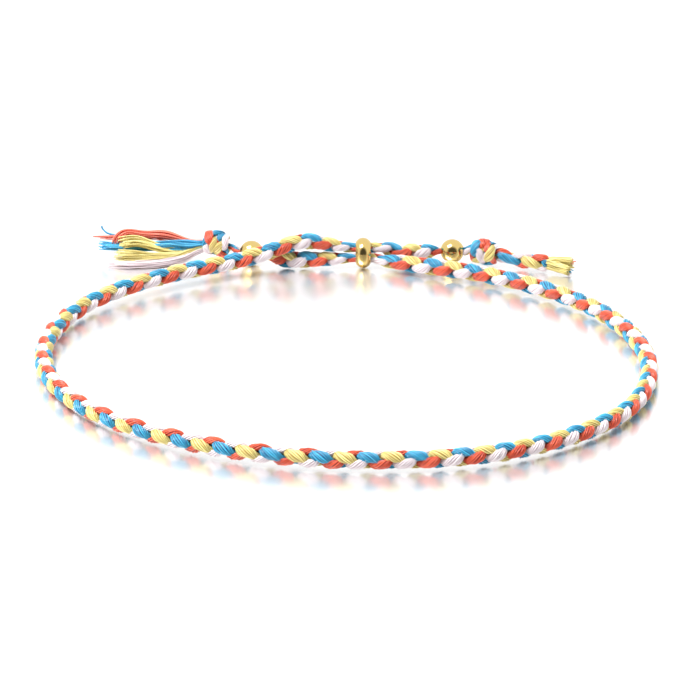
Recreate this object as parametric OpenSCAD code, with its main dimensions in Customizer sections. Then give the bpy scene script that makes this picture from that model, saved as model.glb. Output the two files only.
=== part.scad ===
// Adjustable bracelet: one round braid of four cotton strands, held by a slider bead, lying on a flat
// surface. Millimetres, +Z up, the surface at Z = 0, the front of the wrist loop towards -Y.

/* [Braid] */
// Thickness of the braid where it is free, over its bumps
braid_d = 2.05; // [1.9:0.05:2.1]
// Share of its free thickness that the braid keeps inside a bead
stopper_squeeze = 0.5; // [0.48:0.01:0.52]
// The same inside the slider bead, where two runs lie side by side
slider_squeeze = 0.57; // [0.55:0.01:0.58]
// Length over which a sharply bent braid flattens: it keeps half its thickness in a bend of this radius
flatten_l = 0.3; // [0.2:0.05:0.4]

/* [Beads] */
// Diameter of each round stopper bead
stopper_d = 3; // [2.8:0.1:3.2]
// Diameter of the hole through each stopper bead
stopper_hole_d = 1.3; // [1.3:0.05:1.4]
// Outer diameter of the slider bead
slider_d = 3.8; // [3.8:0.1:4.2]
// Length of the slider bead along its hole
slider_w = 2.1; // [1.8:0.1:2.2]
// Diameter of the hole through the slider bead
slider_hole_d = 2.7; // [2.7:0.05:2.9]

/* [Loose ends] */
// Length of the tassel past the left knot
tassel_l = 13; // [10:0.5:15]
// Length of the frayed end past the right tail
fray_l = 3; // [2:0.25:4]

/* [Hidden] */

BLUE = "#2f9fdc";
YELLOW = "#f2e57c";
RED = "#e9503c";
WHITE = "#efe3e4";
GOLD = "#c9a23f";

// The middle of the whole bracelet's plan box, seen from the middle of the wrist loop
plan_middle = [0.02, 3.02, 0];

// Sides of a strand's outline, rings along it for each turn, and steps between two rows of a route
strand_sides = 5;
rings_per_turn = 6;
steps = 8;

// A strand's outline where it lies over another strand, under one and halfway between the two, as shares of
// the braid's radius. Columns: distance of its middle from the braid's axis, half its thickness, half its width
OVER = [0.82, 0.26, 0.64];
UNDER = [0.22, 0.235, 0.49];
BETWEEN = [0.43, 0.2, 0.46];
// The same shares are this much smaller, apart from the distance, where the braid is drawn tight in a knot
knot_slim = 0.86;
// How far the braid swings back and forth about its axis, so that each strand runs straight over its bump
swing = 16;

// Where each bead stands in plan, and the turn of its hole from +X
slider_at = [2.2, 36.2];
slider_turn = 0;
stopper_left_at = [-11.7, 37.5];
stopper_left_turn = 158;
stopper_right_at = [13.3, 38.1];
stopper_right_turn = 175;

// The two runs of braid in the slider bead lie on a slanted line, this far from its middle
run_offset = 0.65;
run_slant = 65;

// Where each knot stands, and the way that the braid runs through it
knot_left_at = [-16, 39.1, 2.2];
knot_left_turn = 168;
knot_right_at = [17.3, 36.9, 1.8];
knot_right_turn = 166;

// Columns of every row of the route: x, y, z, girth as a share of the free braid, turns of the braid counted
// from the front of the loop, and degrees of twist. It runs from the right tail's cut end to the left tassel.
GIRTH = 3;
TURNS = 4;
TWIST = 5;

// Columns: x, y, z, girth, turns, twist
RIGHT_TAIL = [
    [25.3, 33.9, 1.2, 1, -28.4, -155],
    [23.1, 35, 1.2, 1, -28, -155],
    [20.6, 36, 1.25, 0.85, -27.5, -155],
];
// Columns: x, y, z, girth, turns, twist
RIGHT_RUN = [
    [9.9, 37.7, 1.55, 0.95, -22.35, -65],
    [6.5, 37.1, 1.7, 1, -21.65, -65],
    [4.9, 37, 2.25, 0.78, -21.35, -65],
];
// Columns: x, y, z, girth, turns, twist
CROSSING_OVER = [
    [-1.7, 36.1, 2.95, 0.82, -20, -65],
    [-4.7, 35.9, 3.5, 1, -19.4, -65],
    [-7.5, 34.8, 3.3, 1, -18.85, -65],
    [-9.5, 34.1, 2.7, 1, -18.4, -65],
    [-11.8, 33.2, 2.3, 1, -17.95, -68],
    [-14, 32.2, 2.05, 1, -17.45, -70],
];
// Columns: angle round the wrist loop from +X, radius, z, turns, twist
WRIST_LOOP = [
    [125, 35.2, 1.85, -16.1, -70],
    [150, 36.1, 1.4, -13.2, -57],
    [180, 35.3, 1.15, -9.5, -12],
    [210, 34.2, 1.15, -6, 3],
    [240, 33.4, 1.3, -2.7, 0],
    [270, 34.1, 1.33, 0.5, 33],
    [300, 36.3, 1.3, 4.1, 80],
    [330, 36.7, 1.15, 8, 99],
    [345, 36, 1.15, 9.9, 132],
    [360, 35.3, 1.15, 11.6, 175],
    [390, 34.4, 1.3, 15, 272],
    [420, 33.9, 1.38, 18.25, 292],
    [435, 34.2, 1.38, 19.9, 298],
];
// Columns: x, y, z, girth, turns, twist
LEFT_RUN_IN = [
    [6.5, 34.3, 1.3, 0.94, 20.35, 300],
    [4.9, 35, 1.2, 0.72, 20.6, 300],
];
// Columns: x, y, z, girth, turns, twist
CROSSING_UNDER = [
    [-1.7, 35.9, 1.2, 0.82, 21.9, 300],
    [-4.7, 35.7, 1.2, 1, 22.5, 300],
    [-7.5, 35.8, 1.2, 1, 23.05, 300],
];
// Half of an overhand knot, from its middle at the back, round the core one and a half times, then out
// through it. Columns: along the braid, across it, height, girth
HALF_KNOT = [
    [0, -1, 0, 0.5],
    [-0.2, -0.75, -0.85, 0.5],
    [-0.45, 0, -1.3, 0.5],
    [-0.65, 0.8, -0.85, 0.5],
    [-0.75, 1.1, 0, 0.5],
    [-0.9, 0.8, 0.85, 0.48],
    [-1.25, 0.1, 1.35, 0.45],
    [-1.6, -0.25, 1, 0.4],
    [-1.5, -0.15, 0.5, 0.38],
    [-0.9, 0, 0.4, 0.38],
    [0, 0, 0.42, 0.38],
    [0.9, 0, 0.45, 0.38],
    [1.6, 0, 0.3, 0.45],
];
// Turns of the braid in a knot and at the start of each knot, and the turns beside one where strands are
// slim too
knot_turns = 3.8;
knot_right_turns = -27.25;
knot_left_turns = 24.4;
knot_margin = 0.15;

// Columns: the lock's tip seen from its root along, across and up, and its bow upwards, as shares of the
// tassel's length, and its widest radius in mm
TASSEL_LOCKS = [
    [[1.04, -0.13, -0.03], 0.04, 0.75],
    [[0.92, 0, -0.07], -0.01, 0.7],
    [[0.87, -0.05, -0.04], 0.03, 0.65],
    [[0.88, 0.1, -0.11], -0.02, 0.9],
    [[0.7, 0.18, -0.14], -0.02, 0.6],
];
// Columns: the lock's tip seen from its root along, across and up, and its bow, as shares of the fray's
// length, and its widest radius in mm
FRAY_LOCKS = [
    [[1, 0.05, 0.2], 0.03, 0.55],
    [[0.95, 0.28, -0.02], 0, 0.5],
    [[1.05, -0.22, 0.02], 0, 0.5],
    [[0.9, 0, -0.14], -0.02, 0.5],
];

// Girth of the tassel's head as a share of the free braid, the length of both heads, and how far apart locks
// start on them, in mm for each share that their tips lie apart
head_girth = 0.6;
head_l = 0.6;
root_spread = 2;
// A lock's radius at its root and at its tip, as shares of its widest
lock_root = 0.45;
lock_tip = 0.18;
// The ways that the loose ends point, and the gaps that they leave to the braid
tassel_turn = 180;
tassel_gap = 0.25;
fray_turn = -27;
fray_gap = 0.1;

function unit(v) = v / norm(v);
function place(row) = [row[0], row[1], row[2]];
function mix(a, b, share) = a * (1 - share) + b * share;

// A step of the given length through a bead, along the turn of its hole
function along(turn, length) = [length * cos(turn), length * sin(turn), 0];

// Three rows on the axis of a bead's hole, at its faces and its middle, in the order of travel
function through(middle, turn, half, girth, turns, twist, turns_half) = [
    for (side = [-1, 0, 1])
        let (p = middle + along(turn, side * half))
            [p[0], p[1], p[2], girth, turns + side * turns_half, twist]
];

// A whole overhand knot: its first half is its second half turned half round the across axis
KNOT = concat(
    [for (i = [len(HALF_KNOT) - 1 : -1 : 1]) let (row = HALF_KNOT[i]) [-row[0], row[1], -row[2], row[3]]],
    HALF_KNOT);
KNOT_LENGTHS = [for (i = 0, l = 0; i < len(KNOT);
                     i = i + 1, l = l + (i < len(KNOT) ? norm(place(KNOT[i]) - place(KNOT[i - 1])) : 0)) l];

// The rows of a knot at a place, from a number of turns and a twist to another twist
function knot(at, turn, turns, twist_in, twist_out) = [
    for (i = [0 : len(KNOT) - 1])
        let (row = KNOT[i],
             p = at + along(turn, row[0]) + along(turn + 90, row[1]) + [0, 0, row[2]],
             share = KNOT_LENGTHS[i] / KNOT_LENGTHS[len(KNOT) - 1])
            [p[0], p[1], p[2], row[3], turns + share * knot_turns, mix(twist_in, twist_out, share)]
];

stopper_left_middle = [stopper_left_at[0], stopper_left_at[1], stopper_d / 2];
stopper_right_middle = [stopper_right_at[0], stopper_right_at[1], stopper_d / 2];
slider_middle = [slider_at[0], slider_at[1], slider_d / 2];
run_step = run_offset * [0, cos(run_slant), sin(run_slant)];
slider_half = slider_w / 2 + 0.2;
stopper_half = stopper_d / 2 + 0.1;

ROUTE = concat(
    RIGHT_TAIL,
    knot(knot_right_at, knot_right_turn, knot_right_turns, -155, -65),
    through(stopper_right_middle, stopper_right_turn, stopper_half, stopper_squeeze, -23.04, -65, 0.3),
    RIGHT_RUN,
    through(slider_middle + run_step, slider_turn + 180, slider_half, slider_squeeze, -20.8, -65, 0.23),
    CROSSING_OVER,
    [for (row = WRIST_LOOP) [row[1] * cos(row[0]), row[1] * sin(row[0]), row[2], 1, row[3], row[4]]],
    LEFT_RUN_IN,
    through(slider_middle - run_step, slider_turn + 180, slider_half, slider_squeeze, 21.1, 300, 0.25),
    CROSSING_UNDER,
    through(stopper_left_middle, stopper_left_turn, stopper_half, stopper_squeeze, 23.95, 300, 0.3),
    knot(knot_left_at, knot_left_turn, knot_left_turns, 300, 300));

// The slope of the route at a row, for each mm of chord
function chord(i) = norm(place(ROUTE[i + 1]) - place(ROUTE[i]));
function rise(i) = (ROUTE[i + 1] - ROUTE[i]) / chord(i);
function slope(i) =
    i == 0 ? rise(0) :
    i == len(ROUTE) - 1 ? rise(i - 1) :
    (rise(i) * chord(i - 1) + rise(i - 1) * chord(i)) / (chord(i) + chord(i - 1));

// The route as a smooth curve of finely spaced rows
FINE = concat(
    [for (i = [0 : len(ROUTE) - 2])
        let (a = ROUTE[i], b = ROUTE[i + 1], c = chord(i), sa = slope(i) * c, sb = slope(i + 1) * c)
            for (k = [0 : steps - 1])
                let (u = k / steps, v = 1 - u)
                    a * (v * v * (1 + 2 * u)) + sa * (u * v * v)
                        + b * (u * u * (3 - 2 * u)) - sb * (u * u * v)],
    [ROUTE[len(ROUTE) - 1]]);
TANGENT = [for (i = [0 : len(FINE) - 1])
    unit(place(FINE[min(i + 1, len(FINE) - 1)]) - place(FINE[max(i - 1, 0)]))];

// Outward directions carried along the route without spin, from the front of the loop both ways
front = len([for (row = FINE) if (row[TURNS] < 0.5) row]) - 1;
function flatten(v, tangent) = unit(v - (v * tangent) * tangent);
AHEAD = [for (i = front, v = flatten([0, -1, 0], TANGENT[front]); i < len(FINE);
              i = i + 1, v = flatten(v, TANGENT[min(i, len(FINE) - 1)])) v];
BEHIND = [for (i = front, v = flatten([0, -1, 0], TANGENT[front]); i >= 0;
               i = i - 1, v = flatten(v, TANGENT[max(i, 0)])) v];
OUTWARD = concat([for (i = [front : -1 : 1]) BEHIND[i]], AHEAD);

// How sharply the route bends: a vector towards the middle of the bend, one over its radius long
bend_reach = 4;
BEND = [for (i = [0 : len(FINE) - 1])
    let (a = max(i - bend_reach, 0), b = min(i + bend_reach, len(FINE) - 1))
        (TANGENT[b] - TANGENT[a]) / norm(place(FINE[b]) - place(FINE[a]))];

// An offset from the braid's axis, made shorter towards a bend's middle and longer beside it
function flattened(offset, tangent, bend) =
    let (sharp = norm(bend),
         inward = bend / sharp,
         beside = cross(tangent, inward),
         thin = 1 / (1 + flatten_l * sharp))
        offset + (thin - 1) * (offset * inward) * inward + (1 / thin - 1) * (offset * beside) * beside;

// A fine list read at a place between its rows, and the place that has a number of turns
PLACE_OF_TURNS = [for (i = [0 : len(FINE) - 1]) [FINE[i][TURNS], i]];
function read(list, at) =
    let (low = min(floor(at), len(list) - 2))
        mix(list[low], list[low + 1], at - low);

first_turns = ROUTE[0][TURNS];
last_turns = ROUTE[len(ROUTE) - 1][TURNS];
function in_knot(turns) =
    turns > knot_right_turns - knot_margin && turns < knot_right_turns + knot_turns + knot_margin
        || turns > knot_left_turns - knot_margin;

// The places of a strand's rings, in turns, closer together in the knots. The phase puts two on each bump
function ring_turns(phase) =
    let (end_gap = 0.3 / rings_per_turn)
        concat([first_turns],
               [for (k = [floor(first_turns * rings_per_turn) : 0.5 : ceil(last_turns * rings_per_turn)])
                   let (turns = (k + phase) / rings_per_turn)
                       if ((k == floor(k) || in_knot(turns)) && turns > first_turns + end_gap
                           && turns < last_turns - end_gap)
                           turns],
               [last_turns]);

// One ring of a strand. Way is 1 or -1 round the braid, start its angle at the front, over 1 or -1 at full
// turns
function ring(turns, way, start, over) =
    let (at = lookup(turns, PLACE_OF_TURNS),
         row = read(FINE, at),
         tangent = unit(read(TANGENT, at)),
         bend = read(BEND, at),
         outward = flatten(read(OUTWARD, at), tangent),
         upward = cross(outward, tangent),
         angle = row[TWIST] + start + way * 360 * turns + swing * sin(720 * turns),
         wave = over * cos(720 * turns),
         outline = wave > 0 ? OVER : wave < -0.75 ? UNDER : BETWEEN,
         slim = in_knot(turns) ? knot_slim : 1,
         size = row[GIRTH] * braid_d / 2,
         from_axis = cos(angle) * outward + sin(angle) * upward,
         sideways = sin(angle) * outward - cos(angle) * upward)
        [for (side = [0 : strand_sides - 1])
            let (corner = 360 * side / strand_sides)
                place(row) - plan_middle
                    + size * flattened((outline[0] + slim * cos(corner) * outline[1]) * from_axis
                                       + slim * sin(corner) * outline[2] * sideways, tangent, bend)];

// A closed tube through rings of equally many points. Each four-sided face is split along the way that the
// rings turn: 1 or -1, or 0 where they don't
module tube(rings, way = 0) {
    sides = len(rings[0]);
    last = len(rings) - 1;
    polyhedron(
        points = [for (r = rings, p = r) p],
        faces = concat(
            [for (i = [1 : sides - 2]) [0, i, i + 1]],
            [for (j = [0 : last - 1], i = [0 : sides - 1], half = [0, 1])
                let (a = j * sides + i,
                     b = j * sides + (i + 1) % sides,
                     outer = cos(360 * (i + 0.5) / sides) > 0)
                    (outer ? way : -way) > 0
                        ? (half == 0 ? [a, a + sides, b + sides] : [a, b + sides, b])
                        : (half == 0 ? [a, a + sides, b] : [b, a + sides, b + sides])],
            [for (i = [1 : sides - 2]) [last * sides, last * sides + i + 1, last * sides + i]]));
}

module strand(phase, way, start, over) {
    tube([for (turns = ring_turns(phase)) ring(turns, way, start, over)], way);
}

module strand_blue() {
    color(BLUE) strand(0.5, -1, 0, 1);
}

module strand_yellow() {
    color(YELLOW) strand(0.5, -1, 180, 1);
}

module strand_red() {
    color(RED) strand(0, 1, 180, -1);
}

module strand_white() {
    color(WHITE) strand(0, 1, 0, -1);
}

// A round bead with a drilled hole, its hole along the given turn
module round_bead(middle, turn) {
    translate(middle - plan_middle) rotate([0, 90, turn])
        difference() {
            sphere(d = stopper_d, $fn = 64);
            cylinder(d = stopper_hole_d, h = stopper_d + 1, center = true, $fn = 64);
        }
}

module stopper_bead_left() {
    color(GOLD) round_bead(stopper_left_middle, stopper_left_turn);
}

module stopper_bead_right() {
    color(GOLD) round_bead(stopper_right_middle, stopper_right_turn);
}

// A ring bead with a rounded outside
module slider_bead() {
    round_r = slider_w / 2;
    color(GOLD)
        translate(slider_middle - plan_middle) rotate([0, 90, slider_turn])
            rotate_extrude($fn = 96)
                intersection() {
                    translate([slider_d / 2 - round_r, 0]) circle(r = round_r, $fn = 64);
                    translate([slider_hole_d / 2, -slider_w]) square([slider_d, 2 * slider_w]);
                }
}

// A lock of loose yarn: a bowed tube, thin at the root, widest past the middle and pointed at the tip
module lock(root, run, bow, radius) {
    sides = 5;
    rings = 5;
    tangent = unit(run);
    across = unit(cross(tangent, [0, 0, 1]));
    upward = cross(across, tangent);
    tube([for (j = [0 : rings - 1])
        let (share = j / (rings - 1),
             middle = root + run * share + [0, 0, bow * sin(180 * share)],
             r = radius * (share < 1 ? lock_root + (1 - lock_root) * sin(180 * share) : lock_tip))
            [for (i = [0 : sides - 1])
                let (corner = 360 * i / sides)
                    middle + r * (cos(corner) * across - sin(corner) * upward)]]);
}

// Locks that spread from a short head. Locks gives each one's tip, bow and radius
module tuft(root, turn, length, head_r, locks) {
    translate(root - plan_middle) rotate([0, 0, turn])
        union() {
            rotate([0, 90, 0]) cylinder(r = head_r, h = head_l, $fn = 32);
            for (row = locks)
                let (tip = row[0], start = [head_l / 2, root_spread * tip[1], root_spread * tip[2]])
                    lock(start, length * tip - start, length * row[1], row[2]);
        }
}

module tassel_left() {
    end = place(ROUTE[len(ROUTE) - 1]);
    root = end + along(tassel_turn, tassel_gap);
    color(YELLOW) tuft(root, tassel_turn, tassel_l, head_girth * braid_d / 2, TASSEL_LOCKS);
}

module cut_end_right() {
    end = place(ROUTE[0]);
    root = end + along(fray_turn, fray_gap);
    color(YELLOW) tuft(root, fray_turn, fray_l, braid_d / 2, FRAY_LOCKS);
}

strand_blue();
strand_yellow();
strand_red();
strand_white();
slider_bead();
stopper_bead_left();
stopper_bead_right();
tassel_left();
cut_end_right();
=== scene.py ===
"""An adjustable braided cotton bracelet with gold-plated beads, lying on a glossy white surface."""

import logging
import math
from dataclasses import dataclass, field
from enum import Enum
from typing import Any, Sequence

import bpy
import numpy as np
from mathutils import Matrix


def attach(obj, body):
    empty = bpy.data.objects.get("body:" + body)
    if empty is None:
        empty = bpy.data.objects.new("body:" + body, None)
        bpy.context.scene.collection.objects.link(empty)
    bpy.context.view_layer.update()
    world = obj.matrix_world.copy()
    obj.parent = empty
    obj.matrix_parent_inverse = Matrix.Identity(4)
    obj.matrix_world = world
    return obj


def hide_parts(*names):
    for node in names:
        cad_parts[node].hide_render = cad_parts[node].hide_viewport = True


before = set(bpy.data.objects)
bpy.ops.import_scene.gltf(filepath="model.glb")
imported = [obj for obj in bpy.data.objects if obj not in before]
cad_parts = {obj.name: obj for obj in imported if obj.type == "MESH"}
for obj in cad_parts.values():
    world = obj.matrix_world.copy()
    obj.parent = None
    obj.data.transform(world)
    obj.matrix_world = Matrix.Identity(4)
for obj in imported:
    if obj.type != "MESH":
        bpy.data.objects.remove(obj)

LOG = logging.getLogger("bracelet")
MM = 0.001
BODY = "root"

Colour = tuple[float, float, float, float]
Points = np.ndarray


def linear(hex_colour: str) -> Colour:
    """Turns an sRGB colour into the linear one that shaders take.

    Args:
        hex_colour: the colour as six hex digits with a leading mark.

    Returns:
        Red, green, blue and full opacity, linear.
    """
    parts = [int(hex_colour[i:i + 2], 16) / 255 for i in (1, 3, 5)]
    red, green, blue = [c / 12.92 if c <= 0.04045 else ((c + 0.055) / 1.055) ** 2.4 for c in parts]
    return red, green, blue, 1.0


def unit(vectors: Points) -> Points:
    """Scales one vector or a list of them to length 1."""
    return vectors / np.linalg.norm(vectors, axis=-1, keepdims=True)


def dot(a: Points, b: Points) -> Points:
    """The dot product of each pair of vectors, kept as a column."""
    return np.sum(a * b, axis=-1, keepdims=True)


def lengths_along(points: Points) -> Points:
    """The length of the line of points from its start to each of them."""
    return np.concatenate([[0], np.cumsum(np.linalg.norm(np.diff(points, axis=0), axis=1))])


def add_node(tree: bpy.types.NodeTree, kind: str, settings: dict[str, Any] | None = None,
             links: dict[str | int, Any] | None = None) -> bpy.types.Node:
    """Adds a node with its settings and links.

    Args:
        tree: the material's or the world's node tree.
        kind: the node's type name.
        settings: properties of the node by name, and values of its inputs by socket name or number.
        links: the output socket that feeds each input, by socket name or number.

    Returns:
        The new node.
    """
    node = tree.nodes.new(kind)
    for key, value in (settings or {}).items():
        if isinstance(key, str) and hasattr(node, key):
            setattr(node, key, value)
        else:
            node.inputs[key].default_value = value
    for key, output in (links or {}).items():
        tree.links.new(output, node.inputs[key])
    return node


def empty_tree(name: str) -> tuple[bpy.types.Material, bpy.types.NodeTree]:
    """Makes a material with an empty node tree.

    Args:
        name: the material's name.

    Returns:
        The material and its tree.
    """
    material = bpy.data.materials.new(name)
    material.use_nodes = True
    material.node_tree.nodes.clear()
    return material, material.node_tree


class Handed(Enum):
    """The way that a strand turns round the braid as the braid runs on."""

    LEFT = -1
    RIGHT = 1


class Row(Enum):
    """The columns of the route's table that have a name of their own."""

    GIRTH = 3
    TURNS = 4
    TWIST = 5


@dataclass
class Route:
    """The line that the braid follows from its cut end to its tassel.

    Values are in millimetres and degrees, and those times MM in metres. A name that ends in turn is a
    direction in plan, from +X. Turns are the braid's own, and places along it are counted in them from the
    front of the wrist loop. A row is x, y, z, girth as a share of the free braid's, turns and twist. Rows
    of the wrist loop are angle, radius, z, turns and twist, and rows of the half knot are along, across,
    up and girth.
    """

    # The braid's thickness, and its girth inside each kind of bead
    braid_d: float = 2.05 * MM
    stopper_squeeze: float = 0.5
    slider_squeeze: float = 0.57

    # The beads' sizes, and how far past their faces the braid still runs straight
    stopper_d: float = 3.0
    slider_d: float = 3.8
    slider_w: float = 2.1
    stopper_past: float = 0.1
    slider_past: float = 0.2

    # Where the loop's plan is centred, where the beads stand and which way their holes run
    plan_middle: tuple[float, float, float] = (0.02, 3.02, 0.0)
    slider_at: tuple[float, float] = (2.2, 36.2)
    slider_turn: float = 180
    stopper_left_at: tuple[float, float] = (-11.7, 37.5)
    stopper_left_turn: float = 158
    stopper_right_at: tuple[float, float] = (13.3, 38.1)
    stopper_right_turn: float = 175

    # How far the two runs lie from the middle of the slider bead's hole, and the slope between them
    run_offset: float = 0.65
    run_slant: float = 65

    # The braid's turns at each bead's middle, and how many more it has at the face
    stopper_right_turns: tuple[float, float] = (-23.04, 0.3)
    slider_over_turns: tuple[float, float] = (-20.8, 0.23)
    slider_under_turns: tuple[float, float] = (21.1, 0.25)
    stopper_left_turns: tuple[float, float] = (23.95, 0.3)

    # The braid's twist in the right tail, from there to the slider bead, and past the wrist loop
    tail_twist: float = -155
    right_twist: float = -65
    left_twist: float = 300

    # The knots: places, directions, turns where each starts and turns in each, and the tail's girth there
    knot_left_at: tuple[float, float, float] = (-16, 39.1, 2.2)
    knot_left_turn: float = 168
    knot_right_at: tuple[float, float, float] = (17.3, 36.9, 1.8)
    knot_right_turn: float = 166
    knot_turns: float = 3.8
    knot_right_turns: float = -27.25
    knot_left_turns: float = 24.4
    tail_girth: float = 0.8

    # A knot's effect on its strands grows over knot_soft turns at both ends. It is whole near the knot's
    # middle and fades further along, over one knot_reach, until it is gone knot_core times that far away
    knot_soft: float = 0.4
    knot_reach: float = 0.85 * MM
    knot_core: float = 1.4

    # Places from one row to the next, places each way for reading a bend, and turns at the loop's front
    steps: int = 8
    bend_reach: int = 4
    front_turns: float = 0.5

    right_tail: list[list[float]] = field(default_factory=lambda: [
        [25.3, 33.9, 1.2, 1, -28.4, -155],
        [23.1, 35, 1.2, 1, -28, -155],
        [20.6, 36, 1.25, 0.85, -27.5, -155],
    ])
    right_run: list[list[float]] = field(default_factory=lambda: [
        [9.9, 37.7, 1.55, 0.95, -22.35, -65],
        [6.5, 37.1, 1.7, 1, -21.65, -65],
        [4.9, 37, 2.25, 0.78, -21.35, -65],
    ])
    crossing_over: list[list[float]] = field(default_factory=lambda: [
        [-1.7, 36.1, 2.95, 0.82, -20, -65],
        [-4.7, 35.9, 3.5, 1, -19.4, -65],
        [-7.5, 34.8, 3.3, 1, -18.85, -65],
        [-9.5, 34.1, 2.7, 1, -18.4, -65],
        [-11.8, 33.2, 2.3, 1, -17.95, -68],
        [-14, 32.2, 2.05, 1, -17.45, -70],
    ])
    wrist_loop: list[list[float]] = field(default_factory=lambda: [
        [125, 35.2, 1.85, -16.1, -70],
        [150, 36.1, 1.4, -13.2, -57],
        [180, 35.3, 1.15, -9.5, -12],
        [210, 34.2, 1.15, -6, 3],
        [240, 33.4, 1.3, -2.7, 0],
        [270, 34.1, 1.33, 0.5, 33],
        [300, 36.3, 1.3, 4.1, 80],
        [330, 36.7, 1.15, 8, 99],
        [345, 36, 1.15, 9.9, 132],
        [360, 35.3, 1.15, 11.6, 175],
        [390, 34.4, 1.3, 15, 272],
        [420, 33.9, 1.38, 18.25, 292],
        [435, 34.2, 1.38, 19.9, 298],
    ])
    left_run_in: list[list[float]] = field(default_factory=lambda: [
        [6.5, 34.3, 1.3, 0.94, 20.35, 300],
        [4.9, 35, 1.2, 0.72, 20.6, 300],
    ])
    crossing_under: list[list[float]] = field(default_factory=lambda: [
        [-1.7, 35.9, 1.2, 0.82, 21.9, 300],
        [-4.7, 35.7, 1.2, 1, 22.5, 300],
        [-7.5, 35.8, 1.2, 1, 23.05, 300],
    ])
    half_knot: list[list[float]] = field(default_factory=lambda: [
        [0, -1, 0, 0.5],
        [-0.2, -0.75, -0.85, 0.5],
        [-0.45, 0, -1.3, 0.5],
        [-0.65, 0.8, -0.85, 0.5],
        [-0.75, 1.1, 0, 0.5],
        [-0.85, 0.75, 0.85, 0.46],
        [-0.9, 0.1, 1.15, 0.42],
        [-0.85, -0.2, 0.75, 0.36],
        [-0.75, -0.1, 0.48, 0.36],
        [-0.6, 0, 0.4, 0.36],
        [0, 0, 0.42, 0.38],
        [0.9, 0, 0.45, 0.38],
        [1.6, 0, 0.3, 0.45],
    ])

    def __post_init__(self) -> None:
        """Works out the finely spaced line, its directions and its bends."""
        self.fine = self._rounded(np.array(self._rows(), float))
        self.fine[:, :3] = (self.fine[:, :3] - self.plan_middle) * MM
        places = self.fine[:, :3]
        last = len(places) - 1
        after = np.minimum(np.arange(last + 1) + 1, last)
        before = np.maximum(np.arange(last + 1) - 1, 0)
        self.tangents = unit(places[after] - places[before])
        self.outward = self._carried()
        far = np.minimum(np.arange(last + 1) + self.bend_reach, last)
        near = np.maximum(np.arange(last + 1) - self.bend_reach, 0)
        gaps = np.linalg.norm(places[far] - places[near], axis=1)[:, None]
        self.bends = (self.tangents[far] - self.tangents[near]) / gaps

    def _rounded(self, rows: Points) -> Points:
        """Leads a smooth curve through the rows.

        Args:
            rows: the route's table.

        Returns:
            The rows with evenly spaced ones between them.
        """
        chords = np.linalg.norm(np.diff(rows[:, :3], axis=0), axis=1)
        rises = np.diff(rows, axis=0) / chords[:, None]
        slopes = np.empty_like(rows)
        slopes[0], slopes[-1] = rises[0], rises[-1]
        before, after = chords[:-1, None], chords[1:, None]
        slopes[1:-1] = (rises[1:] * before + rises[:-1] * after) / (before + after)
        fine = []
        for a, b, slope_a, slope_b, chord in zip(rows[:-1], rows[1:], slopes[:-1], slopes[1:], chords):
            for k in range(self.steps):
                u = k / self.steps
                v = 1 - u
                fine.append(a * v * v * (1 + 2 * u) + slope_a * chord * u * v * v
                            + b * u * u * (3 - 2 * u) - slope_b * chord * u * u * v)
        fine.append(rows[-1])
        return np.array(fine)

    def _along(self, turn: float, length: float) -> Points:
        """A step of a length along a turn from +X, in plan."""
        angle = math.radians(turn)
        return np.array([length * math.cos(angle), length * math.sin(angle), 0])

    def _through(self, middle: Sequence[float], turn: float, half: float, girth: float,
                 turns: tuple[float, float], twist: float) -> list[list[float]]:
        """Leads the braid along the axis of a bead's hole.

        Args:
            middle: the middle of the hole, or of one run's share of it.
            turn: the direction of the hole.
            half: how far from the middle the braid still runs straight.
            girth: the braid's girth in the hole.
            turns: the braid's turns in the middle, and how many more it has at the face.
            twist: the braid's twist.

        Returns:
            Three rows, at the near face, in the middle and at the far face.
        """
        at_middle, to_face = turns
        rows = []
        for side in (-1, 0, 1):
            place = np.array(middle) + self._along(turn, side * half)
            rows.append([*place, girth, at_middle + side * to_face, twist])
        return rows

    def _knot(self, at: Sequence[float], turn: float, turns: float, twist_in: float,
              twist_out: float) -> list[list[float]]:
        """Ties a whole overhand knot, whose first half is its second turned half round.

        Args:
            at: the knot's middle.
            turn: the direction in which the braid leaves it.
            turns: the braid's turns where the knot starts.
            twist_in: the braid's twist there.
            twist_out: the braid's twist where it leaves.

        Returns:
            The knot's rows.
        """
        half = np.array(self.half_knot, float)
        knot = np.vstack([half[:0:-1] * [-1, 1, -1, 1], half])
        lengths = lengths_along(knot[:, :3])
        rows = []
        for row, share in zip(knot, lengths / lengths[-1]):
            in_plan = np.array(at) + self._along(turn, row[0]) + self._along(turn + 90, row[1])
            place = in_plan + [0, 0, row[2]]
            twist = twist_in * (1 - share) + twist_out * share
            rows.append([*place, row[3], turns + share * self.knot_turns, twist])
        return rows

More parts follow.
